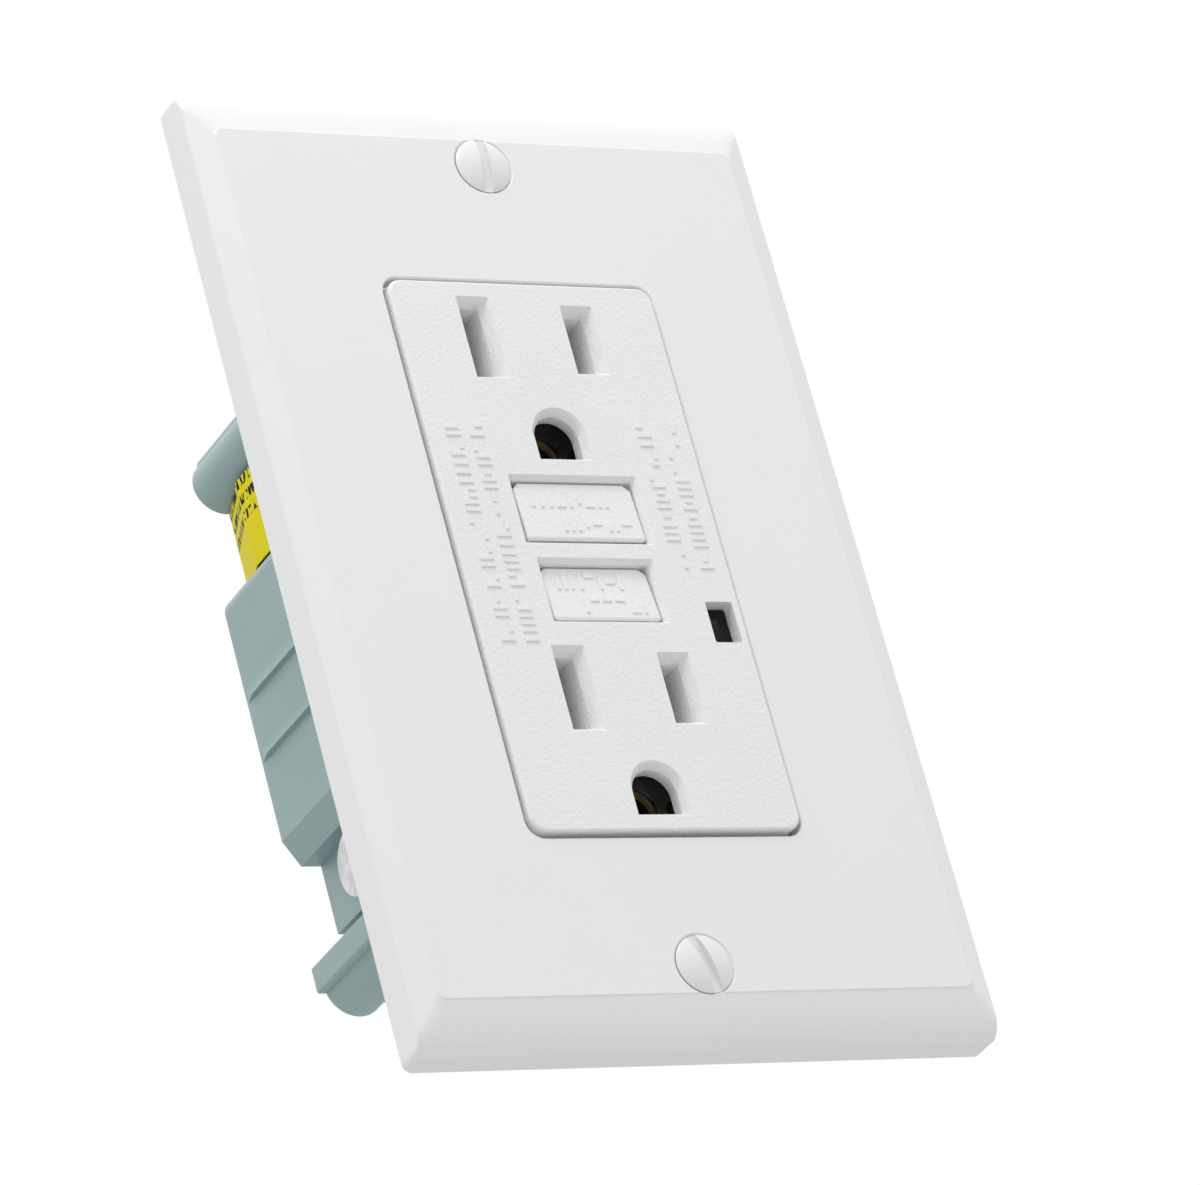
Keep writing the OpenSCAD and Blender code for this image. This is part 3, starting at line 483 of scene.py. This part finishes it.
def dress(obj, slot):
    """Leaves the object with one material."""
    obj.data.materials.clear()
    obj.data.materials.append(MATERIALS[slot])


def piece(obj, slot, body, *nodes):
    """Gives a new piece its material, its body and the nodes it stands for."""
    dress(obj, slot)
    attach(obj, body)
    if nodes:
        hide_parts(*nodes)
    return obj


# ---------------------------------------------------------------- wall plate
def plate_ring(inset_x, inset_z):
    """Outline of the wall plate, drawn in by the insets."""
    low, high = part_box("wall_plate")
    size = ((high[0] - low[0]) / MM, (high[2] - low[2]) / MM)
    return round_rect((size[0] - 2 * inset_x, size[1] - 2 * inset_z), PLATE_CORNER_R)


def opening_ring(grow):
    """Outline of the device opening, drawn out by grow."""
    return round_rect((OPENING[0] + 2 * grow, OPENING[1] + 2 * grow), OPENING_R + grow, steps=12)


def build_wall_plate():
    """Hollow plate with straight side slopes, rolled ends, the opening and two sunk screw holes."""
    low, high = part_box("wall_plate")
    front = low[1] / MM
    shoulder = front + PLATE_SLOPE_DROP
    back_inset, back_edge = PLATE_BACK_EDGE
    rings = [(plate_ring(back_inset, back_inset), 0), (plate_ring(0, 0), -back_edge)]
    # The sides slope straight from a crease, while the ends roll over from further back
    roll_start = shoulder + PLATE_END_ROLL
    roll_depth = roll_start - front - PLATE_STEP
    slope_depth = shoulder - front - PLATE_STEP
    for i in range(1, PLATE_SLOPE_RINGS + 1):
        y = roll_start + (front + PLATE_STEP - roll_start) * i / PLATE_SLOPE_RINGS
        side = PLATE_SLOPE_SIDE * max(0, (shoulder - y) / slope_depth)
        end = PLATE_SLOPE_END * ((roll_start - y) / roll_depth) ** PLATE_END_POWER
        rings.append((plate_ring(side, end), y))
    rings.append((plate_ring(PLATE_SLOPE_SIDE + PLATE_STEP, PLATE_SLOPE_END + PLATE_STEP), front))
    plate = loft("plate_shell", rings)
    size = ((high[0] - low[0]) / MM - 2 * PLATE_WALL, (high[2] - low[2]) / MM - 2 * PLATE_WALL)
    cutters = [
        prism("hollow", round_rect(size, PLATE_HOLLOW_R), front + PLATE_WEB, BEHIND_PLATE),
        loft("opening", [
            (opening_ring(2 * OPENING_LEAD), front - OPENING_LEAD),
            (opening_ring(0), front + OPENING_LEAD),
            (opening_ring(0), BEHIND_PLATE),
        ]),
    ]
    for z in (-PLATE_SCREW_Z, PLATE_SCREW_Z):
        sink = [
            (SINK_R + SINK_LEAD, front - SINK_LEAD),
            (SINK_R, front),
            (SCREW_HOLE_R, front + SINK_DEPTH),
            (SCREW_HOLE_R, BEHIND_PLATE),
        ]
        cutters.append(lathe_y("hole", sink, (0, z)))
    cut(plate, *cutters)
    soften(plate, width=0.07, segments=2, angle=15)
    piece(plate, "plate_plastic", "root", "wall_plate")


# ---------------------------------------------------------------- oval-head plate screws
def screw_profile(front):
    """Domed head, countersunk underside, shank and tip, as (radius, y) points."""
    dome = []
    for i in range(1, SCREW_DOME_RINGS + 1):
        share = i / SCREW_DOME_RINGS
        dome.append((SCREW_HEAD_R * share, front - SCREW_DOME * (1 - share ** SCREW_DOME_POWER)))
    underside = [(SCREW_HEAD_R, front + 0.15), (1.9, front + 1.35)]
    shank = [(1.7, front + 1.5), (1.7, 6.6), (1.1, 7.0)]
    return dome + underside + shank


def build_plate_screws():
    """Both plate screws; each one's slot leans by its own angle, in degrees."""
    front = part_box("wall_plate")[0][1] / MM
    w = SCREW_SLOT_HALF_W
    reach = SCREW_SLOT_REACH
    slot_outline = [(-w, -reach), (w, -reach), (w, reach), (-w, reach)]
    for name, z, lean in (
        ("plate_screw_upper", PLATE_SCREW_Z, 5),
        ("plate_screw_lower", -PLATE_SCREW_Z, -14),
    ):
        screw = lathe_y(name, screw_profile(front), (0, z), 64)
        slot = prism("slot", slot_outline, front - 3 * OVERRUN, front + SCREW_SLOT_DEPTH)
        turn = Matrix.Rotation(math.radians(lean), 4, "Y")
        slot.matrix_world = Matrix.Translation((0, 0, z * MM)) @ turn
        cut(screw, slot)
        soften(screw, width=0.06, segments=2, angle=40)
        piece(screw, "painted_screw", "root", "plate_screws")


# ---------------------------------------------------------------- device face
def tapered(name, outer, inner, centre, y0, y1, y2):
    """Cutter that narrows from outer at y0 to inner at y1 and goes on straight to y2."""
    corner_r = 0.12
    # The slope starts half its depth in front of y0, so that it cuts the surface cleanly
    lead = 0.5
    grow = [(o - i) * lead for o, i in zip(outer, inner)]
    start = (outer[0] + grow[0], outer[1] + grow[1])
    return loft(name, [
        (round_rect(start, corner_r, centre, 3), y0 - (y1 - y0) * lead),
        (round_rect(inner, corner_r, centre, 3), y1),
        (round_rect(inner, corner_r, centre, 3), y2),
    ])


def ground_points(grow, centre_z, steps=24):
    """Outline of a ground hole, an arch over a flat floor, drawn out by grow."""
    r = GROUND_R + grow
    floor_z = centre_z - GROUND_FLOOR - grow
    points = []
    for i in range(steps + 1):
        a = math.pi * i / steps
        points.append((r * math.cos(a), centre_z + r * math.sin(a)))
    return points + [(-r, floor_z), (r, floor_z)]


def add_bar(bm, cx, cz, w, h, y_top, height):
    """One raised bar with sloping sides, its foot sunk into the surface at y_top."""
    slope = 0.06
    foot = 0.15
    corners = ((-1, -1), (1, -1), (1, 1), (-1, 1))
    top_w = w / 2 - slope
    top_h = h / 2 - slope
    lower = [bm.verts.new((cx + sx * w / 2, y_top + foot, cz + sz * h / 2)) for sx, sz in corners]
    upper = [bm.verts.new((cx + sx * top_w, y_top - height, cz + sz * top_h)) for sx, sz in corners]
    bm.faces.new(upper)
    bm.faces.new(list(reversed(lower)))
    for i in range(4):
        j = (i + 1) % 4
        bm.faces.new((lower[i], lower[j], upper[j], upper[i]))


def raised_dashes(name, rows, y_top, height, tall):
    """Rows of plain raised bars, in place of lettering; a row is (x, z, direction, length, seed)."""
    stroke = 0.5
    long_run = 2.4 * stroke
    short_share = 0.55
    long_share = 0.3
    gap = 0.36
    wide_gap = 0.62
    bm = bmesh.new()
    for x, z, along, length, seed in rows:
        pick = random.Random(seed)
        at = 0.0
        while at < length - stroke:
            run = pick.choice((stroke, stroke, stroke, long_run))
            share = pick.choice((1.0, 1.0, 1.0, short_share)) if run == stroke else long_share
            across = tall * share
            side = pick.choice((-1, 0, 1)) * (tall - across) / 2
            if along == "x":
                add_bar(bm, x + at + run / 2, z + side, run, across, y_top, height)
            else:
                add_bar(bm, x + side, z + at + run / 2, across, run, y_top, height)
            at += run + pick.choice((gap, gap, wide_gap))
    return mesh_object(name, bm)


def lean_back(obj, z_low, z_high, rise, y_limit):
    """Pushes what lies in front of y_limit backwards, more towards the top."""
    for vertex in obj.data.vertices:
        place = vertex.co / MM
        if place.y < y_limit:
            share = (place.z - z_low) / (z_high - z_low)
            vertex.co.y = (place.y + rise * share) * MM


def face_shell(front, back):
    """Front of the device with a rounded edge, open behind, on a wider rim."""
    rings = []
    for i in range(FACE_EDGE_STEPS + 1):
        a = math.radians(90 * i / FACE_EDGE_STEPS)
        inset = FACE_EDGE_R * (1 - math.sin(a))
        size = (FACE[0] - 2 * inset, FACE[1] - 2 * inset)
        rings.append((round_rect(size, FACE_R, steps=12), front + FACE_EDGE_R * (1 - math.cos(a))))
    rings.append((round_rect(FACE, FACE_R, steps=12), back))
    face = loft("face_shell", rings)
    low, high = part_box("face_cover")
    rim_size = ((high[0] - low[0]) / MM, (high[2] - low[2]) / MM)
    weld(face, prism("rim", round_rect(rim_size, FACE_RIM_R), back - FACE_RIM, back))
    hollow = round_rect((FACE[0] - 2 * FACE_SIDE_WALL, FACE[1] - 2 * FACE_SIDE_WALL), FACE_HOLLOW_R)
    cut(face, prism("hollow", hollow, front + FACE_WALL, back + OVERRUN))
    return face


def build_face():
    """Face cover with its slots, ground holes and windows, and the dashes beside the buttons."""
    low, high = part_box("face_cover")
    front = low[1] / MM
    back = high[1] / MM
    inner_front = front + FACE_WALL
    face = face_shell(front, back)
    blade_slots = ((-SLOT_X, NEUTRAL_H), (SLOT_X, HOT_H))
    wells = []
    for z in (UPPER_Z, LOWER_Z):
        for x, h in blade_slots:
            outline = round_rect((SLOT_W + 2 * WELL_WALL, h + 2 * WELL_WALL), WELL_R, (x, z), 3)
            wells.append(prism("well", outline, inner_front - WELL_LAP, back - WELL_LAP))
    weld(face, *wells)
    holes = []
    for z in (UPPER_Z, LOWER_Z):
        for x, h in blade_slots:
            outer = (SLOT_W + 2 * LEAD_IN, h + 2 * LEAD_IN)
            lead_end = front + LEAD_DEPTH
            holes.append(tapered("slot", outer, (SLOT_W, h), (x, z), front, lead_end, back + OVERRUN))
        ground_z = z - GROUND_DROP
        slope = GROUND_LEAD / GROUND_LEAD_DEPTH
        before = 0.5
        holes.append(loft("ground", [
            (ground_points(GROUND_LEAD + before * slope, ground_z), front - before),
            (ground_points(0, ground_z), front + GROUND_LEAD_DEPTH),
            (ground_points(0, ground_z), back + OVERRUN),
        ]))
    for window, z in ((RESET_WINDOW, RESET_Z), (TEST_WINDOW, TEST_Z)):
        inner = (window[0] - 2 * WINDOW_LEAD, window[1] - 2 * WINDOW_LEAD)
        lead_end = front + WINDOW_LEAD_DEPTH
        holes.append(tapered("window", window, inner, (0, z), front, lead_end, inner_front + OVERRUN))
    lens_hole = round_rect(LENS, LENS_HOLE_R, (LENS_X, LENS_Z), 4)
    holes.append(prism("window", lens_hole, front - OVERRUN, inner_front + OVERRUN))
    cut(face, *holes)
    soften(face, width=0.1, segments=2, angle=34)
    piece(face, "face_plastic", "root", "face_cover")
    marks = raised_dashes("face_marks", FACE_ROWS, front, height=0.18, tall=1.8)
    marks.data.shade_flat()
    piece(marks, "face_plastic", "root")


# ---------------------------------------------------------------- push buttons
def button_outline(size, inset, z):
    """Button outline with clipped upper corners and small round lower ones."""
    half_w = size[0] / 2 - inset
    half_h = size[1] / 2 - inset
    top = z + half_h
    points = [(half_w, top - BUTTON_CLIP), (half_w - BUTTON_CLIP, top)]
    points += [(BUTTON_CLIP - half_w, top), (-half_w, top - BUTTON_CLIP)]
    corner_steps = 3
    for sx in (-1, 1):
        for i in range(corner_steps + 1):
            a = math.radians(90 * i / corner_steps)
            along = BUTTON_CORNER_R * (1 - (math.cos(a) if sx < 0 else math.sin(a)))
            up = BUTTON_CORNER_R * (1 - (math.sin(a) if sx < 0 else math.cos(a)))
            points.append((sx * (half_w - along), z - half_h + up))
    return points


def body_of(node):
    """The body that a CAD node belongs to."""
    for body, nodes in frame["record"]["behaviour"]["bodies"].items():
        if node in nodes:
            return body
    raise ValueError(node)


def build_button(node, size, window, sunk, z, rows, stem=()):
    """Pillow-topped cap with its holding flange and two rows of raised dashes."""
    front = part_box("face_cover")[0][1] / MM
    flange_y = front + FLANGE_DEPTH
    inside_flange = flange_y + 0.5
    low_z = z - size[1] / 2
    high_z = z + size[1] / 2
    rise = sunk[1] - sunk[0]
    # The cap is drawn upright, and its front is then leant back
    rings = [(button_outline(size, inset, z), front + sunk[0] + drop) for inset, drop in BUTTON_CROWN]
    cap = loft(node + "_cap", rings + [(button_outline(size, 0, z), inside_flange)])
    lean_back(cap, low_z, high_z, rise, flange_y)
    flange_size = (window[0] + FLANGE_MARGIN, window[1] + FLANGE_MARGIN)
    flange = round_rect(flange_size, FLANGE_R, (0, z))
    weld(cap, prism("flange", flange, flange_y, flange_y + FLANGE_THICKNESS))
    for r, depth in stem:
        weld(cap, lathe_y("stem", [(r, inside_flange), (r, depth)], (0, z)))
    soften(cap, width=0.05, segments=2, angle=40)
    placed_rows = [
        (start - size[0] / 2, z + side * BUTTON_ROW_RISE, "x", length, seed)
        for side, (start, length, seed) in zip((1, -1), rows)
    ]
    marks = raised_dashes(node + "_marks", placed_rows, front + sunk[0], height=0.16, tall=2.1)
    lean_back(marks, low_z, high_z, rise, flange_y)
    marks.data.shade_flat()
    piece(cap, "face_plastic", body_of(node), node)
    piece(marks, "face_plastic", body_of(node))


# ---------------------------------------------------------------- indicator
def build_indicator():
    """Dark window set deep in the face, with a soft-edged front."""
    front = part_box("led_lens")[0][1] / MM
    rings = []
    # Each ring of the soft edge: (how much smaller than the window, how far behind the front)
    for shrink, depth in ((0.5, 0), (0.12, 0.08), (0, 0.25), (0, LENS_DEPTH)):
        size = (LENS[0] - LENS_CLEARANCE - shrink, LENS[1] - LENS_CLEARANCE - shrink)
        rings.append((round_rect(size, LENS_R, (LENS_X, LENS_Z), 4), front + depth))
    lens = loft("indicator_window", rings)
    lens.data.shade_smooth()
    lens.data.set_sharp_from_angle(angle=math.radians(40))
    piece(lens, "dark_lens", "root", "led_lens")


# ---------------------------------------------------------------- what keeps the CAD shape
def build_softened():
    """Pieces that keep their CAD shape, with edges rounded by the given width in millimetres."""
    widths = {
        "rear_housing": 0.35,
        "mounting_strap": 0.12,
        "neutral_terminal_screws": 0.2,
        "hot_terminal_screws": 0.2,
        "pressure_plates": 0.1,
        "ground_screw": 0.2,
        "housing_screws": 0.12,
        "terminal_label": 0.0,
    }
    for node, width in widths.items():
        obj = softened_copy(node, node + "_finished", width)
        piece(obj, MATERIAL_SLOTS[node], body_of(node), node)


def dress_inner_nodes():
    """Gives every CAD node the material of its slot."""
    for node, slot in MATERIAL_SLOTS.items():
        dress(frame["nodes"][node], slot)


# ---------------------------------------------------------------- stage, lights and camera
def build_stage():
    """Large pale floor, far below the part and out of the camera's view."""
    half = 700
    floor_z = -900
    bm = bmesh.new()
    corners = ((-half, -half), (half, -half), (half, half), (-half, half))
    bm.faces.new([bm.verts.new((x, y, floor_z)) for x, y in corners])
    floor = mesh_object("floor", bm)
    mat, tree, bsdf = shader("floor_look", (0.8, 0.8, 0.8), 0.7)
    tint(tree, noise(tree, 3), (0.79, 0.79, 0.79), (0.81, 0.81, 0.81), bsdf.inputs["Base Color"])
    floor.data.materials.append(mat)


def direction(azimuth, elevation):
    """Unit vector from the part; azimuth 0 is in front of it, positive to the right."""
    return Vector((
        math.sin(azimuth) * math.cos(elevation),
        -math.cos(azimuth) * math.cos(elevation),
        math.sin(elevation),
    ))


def aimed(away):
    """Rotation that makes a light or a camera look back along the direction."""
    return away.to_track_quat("Z", "Y").to_matrix().to_4x4()


def area_light(name, azimuth, elevation, distance, size, power):
    """Soft square light aimed at the part; the angles are in degrees."""
    place = direction(math.radians(azimuth), math.radians(elevation)) * distance
    data = bpy.data.lights.new(name, "AREA")
    data.shape = "SQUARE"
    data.size = size
    data.energy = power
    light = bpy.data.objects.new(name, data)
    light.matrix_world = Matrix.Translation(place) @ aimed(place)
    bpy.context.scene.collection.objects.link(light)


def build_world():
    """Even studio air that lights the part softly and shows up as plain white behind it."""
    world = bpy.data.worlds.new("studio")
    bpy.context.scene.world = world
    world.use_nodes = True
    tree = world.node_tree
    coords = tree.nodes.new("ShaderNodeTexCoord")
    split = tree.nodes.new("ShaderNodeSeparateXYZ")
    height = tree.nodes.new("ShaderNodeMapRange")
    height.inputs["From Min"].default_value = -1
    tree.links.new(coords.outputs["Generated"], split.inputs["Vector"])
    tree.links.new(split.outputs["Z"], height.inputs["Value"])
    air = mix_colors(tree, height.outputs["Result"], LIGHT_BELOW, LIGHT_ABOVE)
    rays = tree.nodes.new("ShaderNodeLightPath")
    seen = mix_colors(tree, rays.outputs["Is Camera Ray"], air, BACKDROP)
    tree.links.new(seen, tree.nodes["Background"].inputs["Color"])
    bpy.context.scene.view_settings.view_transform = "Standard"


def build_camera():
    """The view is from the left and below, a little rolled, through a long lens."""
    azimuth, elevation, roll = math.radians(-34.45), math.radians(-25.04), math.radians(15.5)
    distance = 0.7334
    target = Vector((3.9, 0, -1.3)) * MM
    away = direction(azimuth, elevation)
    data = bpy.data.cameras.new("camera")
    data.sensor_fit = "HORIZONTAL"
    data.sensor_width = 36
    data.lens = 206.35
    data.clip_start = 0.01
    data.clip_end = 100
    camera = bpy.data.objects.new("camera", data)
    place = Matrix.Translation(target + away * distance)
    camera.matrix_world = place @ aimed(away) @ Matrix.Rotation(-roll, 4, "Z")
    bpy.context.scene.collection.objects.link(camera)
    bpy.context.scene.camera = camera


build_camera()
build_world()
build_stage()
area_light("key", azimuth=-35, elevation=60, distance=0.5, size=0.2, power=0.78)
dress_inner_nodes()
build_wall_plate()
build_plate_screws()
build_face()
build_button("reset_button", RESET_BODY, RESET_WINDOW, RESET_SUNK, RESET_Z, RESET_ROWS)
build_button("test_button", TEST_BODY, TEST_WINDOW, TEST_SUNK, TEST_Z, TEST_ROWS, TEST_STEM)
build_indicator()
build_softened()
